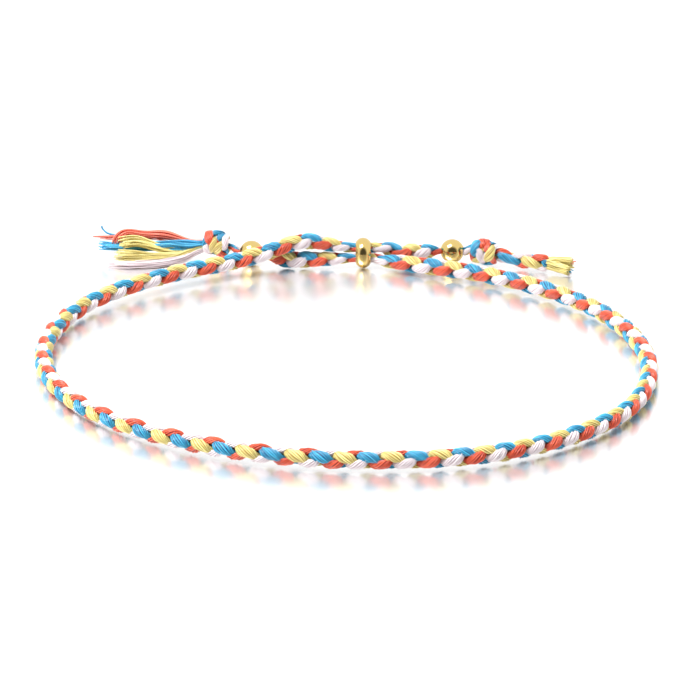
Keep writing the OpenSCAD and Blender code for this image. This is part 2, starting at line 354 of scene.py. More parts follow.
    def _rows(self) -> list[list[float]]:
        """Puts the stretches of the route together.

        Returns:
            All its rows, in the order of travel.
        """
        left = (*self.stopper_left_at, self.stopper_d / 2)
        right = (*self.stopper_right_at, self.stopper_d / 2)
        slider = np.array([*self.slider_at, self.slider_d / 2])
        slant = math.radians(self.run_slant)
        step = self.run_offset * np.array([0, math.cos(slant), math.sin(slant)])
        slider_half = self.slider_w / 2 + self.slider_past
        stopper_half = self.stopper_d / 2 + self.stopper_past
        loop = []
        for angle, radius, z, turns, twist in self.wrist_loop:
            x, y, _ = self._along(angle, radius)
            loop.append([x, y, z, 1, turns, twist])
        knot_right = self._knot(self.knot_right_at, self.knot_right_turn, self.knot_right_turns,
                                self.tail_twist, self.right_twist)
        knot_right[0][Row.GIRTH.value] = self.tail_girth
        return [
            *self.right_tail,
            *knot_right,
            *self._through(right, self.stopper_right_turn, stopper_half, self.stopper_squeeze,
                           self.stopper_right_turns, self.right_twist),
            *self.right_run,
            *self._through(slider + step, self.slider_turn, slider_half, self.slider_squeeze,
                           self.slider_over_turns, self.right_twist),
            *self.crossing_over,
            *loop,
            *self.left_run_in,
            *self._through(slider - step, self.slider_turn, slider_half, self.slider_squeeze,
                           self.slider_under_turns, self.left_twist),
            *self.crossing_under,
            *self._through(left, self.stopper_left_turn, stopper_half, self.stopper_squeeze,
                           self.stopper_left_turns, self.left_twist),
            *self._knot(self.knot_left_at, self.knot_left_turn, self.knot_left_turns,
                        self.left_twist, self.left_twist),
        ]

    def _carried(self) -> Points:
        """Carries the outward direction along the line without spin, from the front of the loop both ways.

        Returns:
            The outward direction at each place of the line.
        """
        front = int(np.sum(self.fine[:, Row.TURNS.value] < self.front_turns)) - 1
        outward = np.empty_like(self.tangents)
        for order in (range(front, len(outward)), range(front, -1, -1)):
            carried = np.array([0.0, -1.0, 0.0])
            for i in order:
                carried = unit(carried - np.dot(carried, self.tangents[i]) * self.tangents[i])
                outward[i] = carried
        return outward

    def turns_span(self) -> tuple[float, float]:
        """The turns of the braid at its cut end and at its tassel."""
        return float(self.fine[0, Row.TURNS.value]), float(self.fine[-1, Row.TURNS.value])

    def read(self, turns: Points) -> dict[str, Points]:
        """Reads the line where the braid has the given turns.

        Args:
            turns: the turns of the braid, from low to high.

        Returns:
            Places, tangents, outward and upward directions, bends, girths and twists there.
        """
        at = np.interp(turns, self.fine[:, Row.TURNS.value], np.arange(len(self.fine)))
        low = np.minimum(at.astype(int), len(self.fine) - 2)
        share = (at - low)[:, None]

        def mixed(values: Points) -> Points:
            """The values between the line's places, where the turns fall."""
            return values[low] * (1 - share) + values[low + 1] * share

        rows = mixed(self.fine)
        tangents = unit(mixed(self.tangents))
        outward = mixed(self.outward)
        outward = unit(outward - dot(outward, tangents) * tangents)
        return {
            "place": rows[:, :3],
            "tangent": tangents,
            "outward": outward,
            "upward": np.cross(outward, tangents),
            "bend": mixed(self.bends),
            "girth": rows[:, Row.GIRTH.value],
            "twist": rows[:, Row.TWIST.value],
        }

    def in_knot(self, turns: Points, places: Points) -> Points:
        """How far each place is inside a knot.

        Args:
            turns: the turns of the braid there.
            places: the places.

        Returns:
            A column of shares from 0 outside a knot or at its ends to 1 in its middle.
        """
        share = np.zeros((len(turns), 1))
        for low, at, turn in ((self.knot_right_turns, self.knot_right_at, self.knot_right_turn),
                              (self.knot_left_turns, self.knot_left_at, self.knot_left_turn)):
            since, until = turns - low, low + self.knot_turns - turns
            inside = np.clip(since / self.knot_soft, 0, 1) * np.clip(until / self.knot_soft, 0, 1)
            middle = (np.array(at) - self.plan_middle) * MM
            away = np.abs(dot(places - middle, self._along(turn, 1)))
            across = np.clip(self.knot_core - away / self.knot_reach, 0, 1)
            share = np.maximum(share, inside[:, None] * across)
        return share

    def knot_axis(self, turns: Points) -> Points:
        """The direction that the nearer knot points in, at each place."""
        right, left = (self._along(turn, 1) for turn in (self.knot_right_turn, self.knot_left_turn))
        return np.where(turns[:, None] < 0, right, left)


def wander(rng: np.random.Generator, count: int, samples: int, spacing: float, wave: float) -> Points:
    """Smooth random values between about -1 and 1 along several threads.

    Args:
        rng: the seeded source of random numbers.
        count: the number of threads.
        samples: the number of places along each one.
        spacing: the distance between those places.
        wave: the distance over which the values change.

    Returns:
        One row of values for each thread.
    """
    spare = 4
    values = rng.uniform(-1, 1, (count, int(samples * spacing / wave) + spare))
    at = np.arange(samples) * spacing / wave + 1
    low = at.astype(int)
    share = at - low
    smooth = share * share * (3 - 2 * share)
    return values[:, low] * (1 - smooth) + values[:, low + 1] * smooth


@dataclass
class ThreadMesh:
    """Collects round threads into one mesh, with each thread's tint and the place along and round it."""

    verts: list[Points] = field(default_factory=list)
    faces: list[Points] = field(default_factory=list)
    caps: list[list[int]] = field(default_factory=list)
    tints: list[Points] = field(default_factory=list)
    lays: list[Points] = field(default_factory=list)
    count: int = 0

    def add(self, centres: Points, across: Points, radius: float, sides: int, tint: float) -> None:
        """Adds a closed round tube.

        Args:
            centres: places along the tube's axis.
            across: a direction across it at each place.
            radius: its radius.
            sides: the number of its sides.
            tint: how light the thread is, from 0 to 1.
        """
        tangents = unit(np.gradient(centres, axis=0))
        side_a = unit(across - dot(across, tangents) * tangents)
        side_b = np.cross(tangents, side_a)
        angles = 2 * math.pi * np.arange(sides) / sides
        cos, sin = np.cos(angles)[None, :, None], np.sin(angles)[None, :, None]
        rings = centres[:, None] + radius * (cos * side_a[:, None] + sin * side_b[:, None])
        self.add_rings(rings, tint, angles)

    def add_rings(self, points: Points, tint: float | Points, angles: Points) -> None:
        """Adds a closed skin over rings of points.

        Args:
            points: the points, by ring and place round it.
            tint: how light the skin is, from 0 to 1, all round or at each place round.
            angles: how far round its thread each place lies from the side that faces out.
        """
        rings, sides = points.shape[:2]
        self.verts.append(points.reshape(-1, 3))
        start = self.count + np.arange(rings - 1)[:, None] * sides
        i = np.arange(sides)[None, :]
        j = (i + 1) % sides
        corners = [start + i, start + j, start + sides + j, start + sides + i]
        self.faces.append(np.stack(corners, -1).reshape(-1, 4))
        first, last = self.count, self.count + (rings - 1) * sides
        self.caps.append([first + k for k in reversed(range(sides))])
        self.caps.append([last + k for k in range(sides)])
        self.tints.append(np.broadcast_to(tint, (rings, sides)).reshape(-1))
        # The place round the thread, whose cosine sets the painted shade: deep in gaps and on undersides
        lay = np.zeros((rings, sides, 3))
        lay[..., 0] = np.cos(angles)
        lay[..., 1] = np.sin(angles)
        lay[..., 2] = lengths_along(points.mean(axis=1))[:, None]
        self.lays.append(lay.reshape(-1, 3))
        self.count += rings * sides

    def build(self, name: str, material: bpy.types.Material) -> bpy.types.Object:
        """Makes the object.

        Args:
            name: the object's name.
            material: what it is made of.

        Returns:
            The object, linked to the scene.
        """
        mesh = bpy.data.meshes.new(name)
        faces = np.concatenate(self.faces).tolist() + self.caps
        mesh.from_pydata(np.concatenate(self.verts).tolist(), [], faces)
        mesh.shade_smooth()
        tint = mesh.attributes.new("tint", "FLOAT", "POINT")
        tint.data.foreach_set("value", np.concatenate(self.tints).astype(np.float32))
        lay = mesh.attributes.new("lay", "FLOAT_VECTOR", "POINT")
        lay.data.foreach_set("vector", np.concatenate(self.lays).astype(np.float32).ravel())
        mesh.materials.append(material)
        thing = bpy.data.objects.new(name, mesh)
        bpy.context.scene.collection.objects.link(thing)
        return thing


@dataclass(frozen=True)
class MercerisedCotton:
    """Mercerised cotton yarn, dyed and loosely plied.

    The caustic bath makes the fibres round and smooth, so the yarn has a soft silky gloss along each
    thread and almost no fuzz. Light is the dye's colour on top of a yarn, and deep a painted shade down in
    a gap between yarns and on the underside of a loose thread.
    """

    name: str
    light: str
    deep: str
    roughness: float = 0.32
    specular: float = 0.5
    sheen: float = 0.08
    sheen_roughness: float = 0.4

    # The plies' number, the length in which they turn once round the yarn, and how proud they stand
    plies: float = 2.0
    ply_pitch: float = 0.6 * MM
    bump: float = 0.012 * MM
    bump_strength: float = 0.6

    # The fibres' mottle: its grain is about twenty fibres wide, because single ones are too fine to show
    fibre_grain: float = 0.35 * MM
    fibre_detail: float = 3.0
    fibre_roughness: float = 0.6
    fibre_share: float = 0.5

    # How far a face looks outward where a gap's painted shade is whole and where it ends, the range that
    # mottle and tint span, and how much of the light colour is left at its lower end
    gap: tuple[float, float] = (0.15, 0.95)
    mottle: tuple[float, float] = (0.2, 1.2)
    darkest: float = 0.4

    def _relief(self, tree: bpy.types.NodeTree, lay: bpy.types.Node) -> bpy.types.Node:
        """Adds the plies, as fine ridges that turn round each yarn.

        Args:
            tree: the material's tree.
            lay: the node with the place round and along the yarn.

        Returns:
            The node whose output is the bumped normal.
        """
        turned = add_node(tree, "ShaderNodeMath", {"operation": "ARCTAN2"},
                          {0: lay.outputs["Y"], 1: lay.outputs["X"]})
        along = add_node(tree, "ShaderNodeMath",
                         {"operation": "MULTIPLY_ADD", 1: 2 * math.pi / self.ply_pitch},
                         {0: lay.outputs["Z"], 2: turned.outputs[0]})
        plies = add_node(tree, "ShaderNodeMath", {"operation": "MULTIPLY", 1: self.plies},
                         {0: along.outputs[0]})
        wave = add_node(tree, "ShaderNodeMath", {"operation": "SINE"}, {0: plies.outputs[0]})
        return add_node(tree, "ShaderNodeBump", {"Strength": self.bump_strength, "Distance": self.bump},
                        {"Height": wave.outputs[0]})

    def _dye_and_gap_shade(self, tree: bpy.types.NodeTree, lay: bpy.types.Node) -> bpy.types.Node:
        """Adds the colour: light on top of each yarn, painted shade in the gaps, and mottled by the fibres.

        Args:
            tree: the material's tree.
            lay: the node with the place round and along the yarn.

        Returns:
            The node whose third output is the colour.
        """
        tint = add_node(tree, "ShaderNodeAttribute", {"attribute_name": "tint"})
        place = add_node(tree, "ShaderNodeTexCoord")
        fibres = add_node(tree, "ShaderNodeTexNoise",
                          {"Scale": 1 / self.fibre_grain, "Detail": self.fibre_detail,
                           "Roughness": self.fibre_roughness},
                          {"Vector": place.outputs["Object"]})
        # Painted shade: deep where a face looks into a gap between yarns or down under a loose thread
        outward = add_node(tree, "ShaderNodeMapRange",
                           {"interpolation_type": "SMOOTHSTEP", "From Min": self.gap[0],
                            "From Max": self.gap[1]},
                           {"Value": lay.outputs["X"]})
        mottle = add_node(tree, "ShaderNodeMath", {"operation": "MULTIPLY_ADD", 1: self.fibre_share},
                          {0: fibres.outputs["Fac"], 2: tint.outputs["Fac"]})
        lit = add_node(tree, "ShaderNodeMapRange",
                       {"From Min": self.mottle[0], "From Max": self.mottle[1], "To Min": self.darkest,
                        "To Max": 1.0},
                       {"Value": mottle.outputs[0]})
        shade = add_node(tree, "ShaderNodeMath", {"operation": "MULTIPLY", "use_clamp": True},
                         {0: outward.outputs[0], 1: lit.outputs[0]})
        return add_node(tree, "ShaderNodeMix",
                        {"data_type": "RGBA", 6: linear(self.deep), 7: linear(self.light)},
                        {0: shade.outputs[0]})

    def make(self) -> bpy.types.Material:
        """Makes the yarn's material.

        Returns:
            The material.
        """
        material, tree = empty_tree(self.name)
        place_on_yarn = add_node(tree, "ShaderNodeAttribute", {"attribute_name": "lay"})
        lay = add_node(tree, "ShaderNodeSeparateXYZ", links={0: place_on_yarn.outputs["Vector"]})
        colour = self._dye_and_gap_shade(tree, lay)
        bump = self._relief(tree, lay)
        surface = add_node(tree, "ShaderNodeBsdfPrincipled",
                           {"Roughness": self.roughness, "Specular IOR Level": self.specular,
                            "Sheen Weight": self.sheen, "Sheen Roughness": self.sheen_roughness},
                           {"Base Color": colour.outputs[2], "Normal": bump.outputs[0]})
        add_node(tree, "ShaderNodeOutputMaterial", links={"Surface": surface.outputs[0]})
        return material


@dataclass(frozen=True)
class GoldPlatedBrass:
    """Turned brass beads, tumbled smooth and gold plated.

    The plating makes each bead a mirror with a warm yellow colour, and the tumbling leaves tiny dents.
    """

    name: str = "gold_plated_brass"
    gold: str = "#dcc07a"

    # The roughness, how much lower it is where the bead is polished, and how much higher where smeared
    roughness: float = 0.11
    polished: float = 0.04
    smeared: float = 0.06

    # The dents of the tumbling
    dent_size: float = 0.5 * MM
    dent_detail: float = 2.0
    dent_depth: float = 0.02 * MM
    dent_strength: float = 0.15

    def make(self) -> bpy.types.Material:
        """Makes the plated metal.

        Returns:
            The material.
        """
        material, tree = empty_tree(self.name)
        place = add_node(tree, "ShaderNodeTexCoord")
        dents = add_node(tree, "ShaderNodeTexNoise",
                         {"Scale": 1 / self.dent_size, "Detail": self.dent_detail},
                         {"Vector": place.outputs["Object"]})
        bump = add_node(tree, "ShaderNodeBump",
                        {"Strength": self.dent_strength, "Distance": self.dent_depth},
                        {"Height": dents.outputs["Fac"]})
        smears = add_node(tree, "ShaderNodeMapRange",
                          {"To Min": self.roughness - self.polished,
                           "To Max": self.roughness + self.smeared},
                          {"Value": dents.outputs["Fac"]})
        surface = add_node(tree, "ShaderNodeBsdfPrincipled",
                           {"Base Color": linear(self.gold), "Metallic": 1.0},
                           {"Roughness": smears.outputs[0], "Normal": bump.outputs[0]})
        add_node(tree, "ShaderNodeOutputMaterial", links={"Surface": surface.outputs[0]})
        return material


@dataclass(frozen=True)
class WhiteAcrylic:
    """A cast acrylic sheet, white and polished: it mirrors the bracelet softly, close under it.

    Mirror is its metallic share, matched to how strongly the photograph's surface mirrors the braid.
    """

    name: str = "white_acrylic"
    white: str = "#f8f8f8"
    roughness: float = 0.26
    mirror: float = 0.75

    def make(self) -> bpy.types.Material:
        """Makes the sheet's material.

        Returns:
            The material.
        """
        material, tree = empty_tree(self.name)
        surface = add_node(tree, "ShaderNodeBsdfPrincipled",
                           {"Base Color": linear(self.white), "Roughness": self.roughness,
                            "Metallic": self.mirror})
        add_node(tree, "ShaderNodeOutputMaterial", links={"Surface": surface.outputs[0]})
        return material


# Each dye's light colour and its deep painted shade for the gaps and undersides, in the braid, and in
# the loose ends, whose paler colours paint the light that shines through them
BRAID_DYES_AND_SHADES = {
    "blue": ("#49c8f0", "#063a6e"),
    "yellow": ("#fff5a2", "#a88638"),
    "red": ("#ff6e48", "#8c0e04"),
    "white": ("#fffafa", "#c4adb7"),
}
LOOSE_DYES_AND_SHADES = {
    "blue": ("#6bd0f2", "#3b9fd0"),
    "yellow": ("#faf2ae", "#e2d07c"),
    "red": ("#ff9a82", "#ec6b56"),
    "white": ("#fdf5f5", "#dfcdd2"),
}


def dyed(kind: str, dyes_and_shades: dict[str, tuple[str, str]]) -> dict[str, bpy.types.Material]:
    """Makes one cotton for each dye.

    Args:
        kind: the start of the cottons' names.
        dyes_and_shades: each dye's light colour and its deep painted shade, by colour.

    Returns:
        The cottons by colour.
    """
    return {colour: MercerisedCotton(f"{kind}_{colour}", light, deep).make()
            for colour, (light, deep) in dyes_and_shades.items()}


@dataclass(frozen=True)
class StrandShape:
    """A strand's outline where it lies over and under others: distance, half thickness and half width.

    All are shares of the braid's radius. The solid strands are slimmer, because they may not touch.
    Between two dives the strand lies in one row of bumps: it drifts by slant degrees each way, and the
    dive's power says how late it turns down to the next row. Over a bump its outline is wrapped round
    wrap_r, and where the braid bends it is flattened over a length of flatten_l. Lifts says by how many
    degrees the rows lie further round than the solid ones, by turns of the braid. In the knots the
    strands lie knot_wide times wider along the knot, and knot_twist degrees further round.
    """

    over: tuple[float, float, float] = (0.66, 0.42, 0.8)
    under: tuple[float, float, float] = (0.2, 0.36, 0.55)
    slant: float = 18
    lifts: tuple[tuple[float, float], ...] = (
        (-28, 12), (-27, 12), (-26, 0), (-23, -20), (-20.8, -20), (-19.5, -10),
        (-14, -10), (-8, 0), (-3, 10), (3, 10), (8, 0), (14, -10),
    )
    dive: float = 5
    wrap_r: float = 0.8
    flatten_l: float = 0.3 * MM
    knot_wide: float = 1.9
    knot_twist: float = 90

    def outline(self, dome: Points) -> Points:
        """The outline's three sizes, where dome is 1 on top of a bump and 0 under another strand."""
        return np.array(self.under) * (1 - dome) + np.array(self.over) * dome

    def turned(self, step: Points) -> Points:
        """How many degrees round the braid the strand is from its bump's middle, at steps from -1 to 1."""
        return self.slant * step + (90 - self.slant) * np.sign(step) * np.abs(step) ** self.dive


@dataclass
class Strand:
    """One of the four strands: a bundle of yarns laid side by side in a slow twist.

    Start is where it lies round the braid, in degrees, and shift how far on its first bump is, in half
    turns. Lay_turns says how often the yarns go round the strand in one turn of the braid. They drift
    sideways by a share of their spacing and lift off by a share of their radius, each over a wave of so
    many turns. The ends are rounded over end_turns, down to a girth of end_girth.
    """

    colour: str
    handed: Handed
    start: float
    shift: float
    seed: int
    yarns: int = 13
    rings_per_turn: int = 30
    points_per_yarn: int = 4
    oval_steps: int = 181
    yarn_r: float = 0.16 * MM
    lay_turns: float = 0.7
    drift: float = 0.25
    drift_wave: float = 0.35
    lift: float = 0.3
    lift_wave: float = 0.22
    end_turns: float = 0.12
    end_girth: float = 0.05
    shape: StrandShape = field(default_factory=StrandShape)

    def frame_at(self, route: Route, turns: Points) -> dict[str, Points]:
        """Works out the strand's middle, its sizes and its directions.

        Args:
            route: the braid's line.
            turns: where along it, in turns.

        Returns:
            The line's values with the strand's own radial and sideways directions and outline sizes.
        """
        line = route.read(turns)
        halves = 2 * turns - self.shift
        bump = np.round(halves)
        step = 2 * (halves - bump)
        around = 180 * (bump + self.shift) + self.shape.turned(step)
        line["knotted"] = route.in_knot(turns, line["place"])
        lift = np.interp(turns, *zip(*self.shape.lifts)) + self.shape.knot_twist * line["knotted"][:, 0]
        angle = np.radians(line["twist"] + lift + self.start + self.handed.value * around)[:, None]
        line["from_axis"] = np.cos(angle) * line["outward"] + np.sin(angle) * line["upward"]
        line["sideways"] = np.sin(angle) * line["outward"] - np.cos(angle) * line["upward"]
        line["dome"] = np.sqrt(np.maximum(1 - step * step, 0))[:, None]
        line["sizes"] = self.shape.outline(line["dome"])
        first, last = route.turns_span()
        from_end = np.clip(np.minimum(turns - first, last - turns) / self.end_turns, 0, 1)
        rounded = self.end_girth + (1 - self.end_girth) * np.sqrt(1 - (1 - from_end) ** 2)
        line["radius"] = (line["girth"] * rounded * route.braid_d / 2)[:, None]
        line["knot_axis"] = route.knot_axis(turns)
        return line

    def offset(self, line: dict[str, Points], radial: Points, beside: Points) -> Points:
        """Places points round the braid's axis, flattened where the braid bends and widened in the knots.

        Args:
            line: the values that frame_at gives.
            radial: the points' distances from the braid's axis, as shares of its radius.
            beside: the points' places sideways, as such shares.

        Returns:
            The points.
        """
        turn = beside / self.shape.wrap_r
        deep = radial + line["dome"] * radial * (np.cos(turn) - 1)
        wide = beside + line["dome"] * (radial * np.sin(turn) - beside)
        spread = line["radius"] * (deep * line["from_axis"] + wide * line["sideways"])
        sharp = np.linalg.norm(line["bend"], axis=1, keepdims=True)
        inward = line["bend"] / sharp
        side = np.cross(line["tangent"], inward)
        thin = 1 / (1 + self.shape.flatten_l * sharp)
        flat = (thin - 1) * dot(spread, inward) * inward
        spread = spread + flat + (1 / thin - 1) * dot(spread, side) * side
        wider = (self.shape.knot_wide - 1) * line["knotted"] * dot(spread, line["knot_axis"])
        return line["place"] + spread + wider * line["knot_axis"]

    def _evenly_round(self, share: Points) -> Points:
        """Finds the angle on the strand's flat oval, so that yarns lie evenly spaced round it.

        Args:
            share: shares of the way round.

        Returns:
            The angle at each of them.
        """
        angles = np.linspace(0, 2 * math.pi, self.oval_steps)
        _, half_thick, half_wide = self.shape.over
        lengths = lengths_along(np.stack([np.cos(angles) * half_thick, np.sin(angles) * half_wide], 1))
        whole = np.floor(share)
        return np.interp(share - whole, lengths / lengths[-1], angles) + 2 * math.pi * whole

    def build(self, route: Route, material: bpy.types.Material) -> bpy.types.Object:
        """Builds the strand as one skin with a ridge for each yarn.

        Args:
            route: the braid's line.
            material: the dyed yarn.

        Returns:
            The strand.
        """
        rng = np.random.default_rng(self.seed)
        first, last = route.turns_span()
        turns = np.linspace(first, last, int((last - first) * self.rings_per_turn))
        line = self.frame_at(route, turns)
        sizes = line["sizes"]
        yarn = self.yarn_r / (route.braid_d / 2)
        spacing = 1 / self.rings_per_turn
        drift = wander(rng, self.yarns, len(turns), spacing, self.drift_wave) * self.drift / self.yarns
        lift = wander(rng, self.yarns, len(turns), spacing, self.lift_wave) * self.lift * yarn
        tints = rng.uniform(0, 1, self.yarns)
        rings, angles, tint = [], [], []
        for k in range(self.yarns):
            for j in range(self.points_per_yarn):
                # A ridge's first point lies in the gap before it, and drifts with the yarn before
                across = math.pi * (j / self.points_per_yarn - 0.5)
                share = (k + j / self.points_per_yarn - 0.5) / self.yarns + drift[k if j else k - 1]
                angle = self._evenly_round(share - self.handed.value * self.lay_turns * turns)[:, None]
                height = (math.cos(across) * (yarn + lift[k][:, None])) - yarn
                rings.append(self.offset(line, sizes[:, :1] + np.cos(angle) * (sizes[:, 1:2] + height),
                                         np.sin(angle) * (sizes[:, 2:] + height)))
                # The angle round the yarn sets the painted shade: deep in the gap, light on the yarn's top
                angles.append(across)
                tint.append(tints[k])
        mesh = ThreadMesh()
        mesh.add_rings(np.stack(rings, axis=1), np.array(tint), np.array(angles))
        return mesh.build(f"braid_{self.colour}", material)


@dataclass
class Braid:
    """The four strands of the round braid."""

    route: Route
    strands: tuple[Strand, ...] = (
        Strand("blue", Handed.LEFT, 0, 0, 11),
        Strand("yellow", Handed.LEFT, 180, 0, 12),
        Strand("red", Handed.RIGHT, 180, 0.5, 13),
        Strand("white", Handed.RIGHT, 0, 0.5, 14),
    )

    def build(self, cottons: dict[str, bpy.types.Material]) -> None:
        """Builds and dresses the strands, each in place of its plain solid.

        Args:
            cottons: the dyed yarns by colour.
        """
        for strand in self.strands:
            piece = strand.build(self.route, cottons[strand.colour])
            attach(piece, BODY)
            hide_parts(f"strand_{strand.colour}")
            LOG.info("%s: %d faces", piece.name, len(piece.data.polygons))


@dataclass(frozen=True)
class Lock:
    """A lock of loose threads, which follows points that lie along, across and up from the tuft's root.

    Points and radii are in millimetres. Ends says how far short or long of the last point its threads
    end, as shares of the path, and stray how far they wander, as a share of the radius.
    """

    colour: str
    path: tuple[tuple[float, float, float], ...]
    radii: tuple[float, ...]
    threads: int
    ends: tuple[float, float] = (0.86, 1.0)
    stray: float = 0.3


@dataclass
class Tuft:
    """Loose threads that spread from an end of the braid.

    Node is the solid that they take the place of, turn the direction that the tuft points in, in degrees
    from +X, and at_last says whether it grows from the last place of the route or from the first. A
    thread's thickness is thread_r times a share out of thickness, and stray_wave the share of its length
    over which it wanders.
    """

    name: str
    node: str
    turn: float
    at_last: bool
    locks: tuple[Lock, ...]
    seed: int
    thread_r: float = 0.06 * MM
    thickness: tuple[float, float] = (0.75, 1.15)
    stray_wave: float = 0.3
    rings: int = 26
    sides: int = 5

    def _smooth(self, values: Points, shares: Points) -> Points:
        """Reads values off a smooth curve through the rows.

        Args:
            values: the rows.
            shares: where to read, as shares of the whole from 0 to 1.

        Returns:
            The values there.
        """
        at = np.clip(shares, 0, 1) * (len(values) - 1)
        low = np.minimum(at.astype(int), len(values) - 2)
        u = (at - low)[:, None]
        padded = np.vstack([2 * values[0] - values[1], values, 2 * values[-1] - values[-2]])
        a, b, c, d = (padded[low + k] for k in range(4))
        return 0.5 * (2 * b + (c - a) * u + (2 * a - 5 * b + 4 * c - d) * u ** 2
                      + (3 * b - a - 3 * c + d) * u ** 3)

    def _lock(self, lock: Lock, root: Points, turned: Points, rng: np.random.Generator,
              mesh: ThreadMesh) -> None:
        """Adds one lock's threads.

        Args:
            lock: the lock.
            root: the place where the tuft starts.
            turned: the directions along, across and up, as rows.
            rng: the source of random numbers.
            mesh: the mesh that gathers the threads of the lock's colour.
        """
        path, radii = np.array(lock.path) * MM, np.array(lock.radii)[:, None] * MM
        strays = wander(rng, 2 * lock.threads, self.rings, 1 / (self.rings - 1), self.stray_wave)
        for k in range(lock.threads):
            angle, out = rng.uniform(0, 2 * math.pi), math.sqrt(rng.uniform(0, 1))
            share = np.linspace(0, rng.uniform(*lock.ends), self.rings)
            middle = self._smooth(path, share) @ turned + root
            heading = unit(np.gradient(middle, axis=0))
            across = unit(np.cross(heading, [0, 0, 1]))
            upward = np.cross(across, heading)
            stray = strays[2 * k:2 * k + 2].T * lock.stray
            offset = out * np.array([[math.cos(angle), math.sin(angle)]]) + stray
            beside = offset[:, :1] * across + offset[:, 1:] * upward
            centres = middle + self._smooth(radii, share) * beside
            centres[:, 2] = np.maximum(centres[:, 2], self.thread_r)
            radius = self.thread_r * rng.uniform(*self.thickness)
            # Round from the upward side, so each loose thread is painted light on top and shaded underneath
            mesh.add(centres, upward, radius, self.sides, rng.uniform(0, 1))

    def build(self, route: Route, cottons: dict[str, bpy.types.Material]) -> None:
        """Builds the tuft, one piece for each colour of thread.

        Args:
            route: the braid's line.
            cottons: the dyed yarns by colour.
        """
        rng = np.random.default_rng(self.seed)
        angle = math.radians(self.turn)
        along = np.array([math.cos(angle), math.sin(angle), 0])
        turned = np.array([along, [-along[1], along[0], 0], [0, 0, 1]])
        root = route.fine[-1 if self.at_last else 0, :3]
        for colour in dict.fromkeys(lock.colour for lock in self.locks):
            mesh = ThreadMesh()
            for lock in self.locks:
                if lock.colour == colour:
                    self._lock(lock, root, turned, rng, mesh)
            piece = mesh.build(f"{self.name}_{colour}", cottons[colour])
            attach(piece, BODY)
            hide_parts(self.node)
            LOG.info("%s: %d faces", piece.name, len(piece.data.polygons))


TASSEL = Tuft("tassel", "tassel_left", 180, True, (
    Lock("red",
         ((-2.2, -0.1, 0), (1.5, -0.2, -0.25), (4.9, -0.5, 0.45), (7.6, -0.6, 0.55), (9.7, -0.5, 0.85),
          (10.7, -0.1, 0.4), (11.1, 0.2, -0.6)),
         (0.2, 0.2, 0.55, 0.45, 0.4, 0.55, 0.7), 64),
    Lock("red",
         ((-2.2, -0.1, 0), (1.5, -0.3, -0.25), (5.5, -0.7, 0.4), (9, -0.8, 0.4), (11.5, -0.6, 0.15),
          (14.2, -0.4, 0.3)),
         (0.2, 0.2, 0.3, 0.35, 0.3, 0.1), 20),
    Lock("blue",
         ((-2.2, -0.1, 0), (0.6, 0.5, -0.45), (2.6, 0.7, -0.5), (5.2, 0.7, -0.5), (8.5, 0.2, -0.9),
          (11.4, 0.3, -0.7), (13.4, 0.3, -0.5)),
         (0.3, 0.5, 0.65, 0.55, 0.5, 0.5, 0.6), 60),
    Lock("blue",
         ((10.2, -0.8, 0.3), (12, -1, 0.5), (12.7, -1.1, 1), (12.9, -1.1, 1.5)),
         (0.12, 0.15, 0.1, 0.15), 5),
    Lock("yellow",
         ((-2.2, 0, 0), (2.5, 0.5, -0.9), (4.7, 1, -0.9), (6.8, 0.9, -0.3), (8.6, 0.7, 0.1),
          (10.8, 0.7, -0.15)),
         (0.3, 0.35, 0.4, 0.5, 0.65, 0.7), 60),
    Lock("yellow",
         ((-2.2, 0, -0.1), (1.8, 0.9, -1.1), (3.7, 1.5, -1.6), (6.2, 2, -1.7), (8.9, 2.1, -1.55),
          (11.4, 2.1, -1.5)),
         (0.3, 0.4, 0.5, 0.7, 0.9, 0.95), 85),
    Lock("white",
         ((-2.2, 0, -0.2), (1.2, 1, -1.3), (2.6, 1.8, -1.8), (4.2, 2.6, -2), (6.2, 3.2, -2.1),
          (9.3, 3.5, -2.1), (12.4, 2.8, -2.1)),
         (0.3, 0.35, 0.4, 0.4, 0.45, 0.5, 0.7), 40, (0.7, 1.0)),
), 21)

CUT_END = Tuft("cut_end", "cut_end_right", -27, False, (
    Lock("yellow", ((-0.9, 0.1, 0.1), (0.5, 0.1, 0.35), (1.6, 0.2, 0.6), (3.1, 0.2, 0.75)),
         (0.45, 0.6, 0.5, 0.45), 40, stray=0.12),
    Lock("yellow", ((-0.9, 0.1, 0), (0.5, 0.35, 0), (1.6, 0.5, 0.1), (3, 0.8, 0.15)),
         (0.45, 0.6, 0.5, 0.5), 40, stray=0.12),
    Lock("yellow", ((-0.9, -0.1, 0), (0.5, -0.35, 0), (1.6, -0.45, -0.1), (2.9, -0.6, -0.2)),
         (0.45, 0.6, 0.5, 0.5), 36, stray=0.12),
    Lock("yellow", ((-0.9, 0.1, 0), (0.5, 0.1, -0.25), (1.6, 0.1, -0.5), (2.7, 0.2, -0.75)),
         (0.45, 0.6, 0.5, 0.45), 36, stray=0.12),
    Lock("red", ((0.5, 0.4, 0.2), (1.8, 0.5, 0.45), (3.35, 0.5, 0.7)), (0.2, 0.25, 0.35), 12, stray=0.15),
    Lock("blue", ((0.5, 0.2, -0.1), (1.8, 0.3, -0.4), (2.95, 0.4, -0.75)), (0.2, 0.25, 0.3), 8, stray=0.15),
    Lock("white", ((0.5, 0, -0.2), (1.6, 0.1, -0.6), (2.8, 0.3, -0.9)), (0.2, 0.3, 0.4), 12, stray=0.15),
), 22)


@dataclass
class Beads:
    """The slider bead and the two stopper beads, whose solids show as they are."""

    names: tuple[str, ...] = ("slider_bead", "stopper_bead_left", "stopper_bead_right")

    def dress(self, material: bpy.types.Material) -> None:
        """Gives each bead its plated finish.

        Args:
            material: the plated metal.
        """
        for name in self.names:
            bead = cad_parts[name]
            for held in bead.material_slots:
                held.material = material
            LOG.info("%s dressed", name)


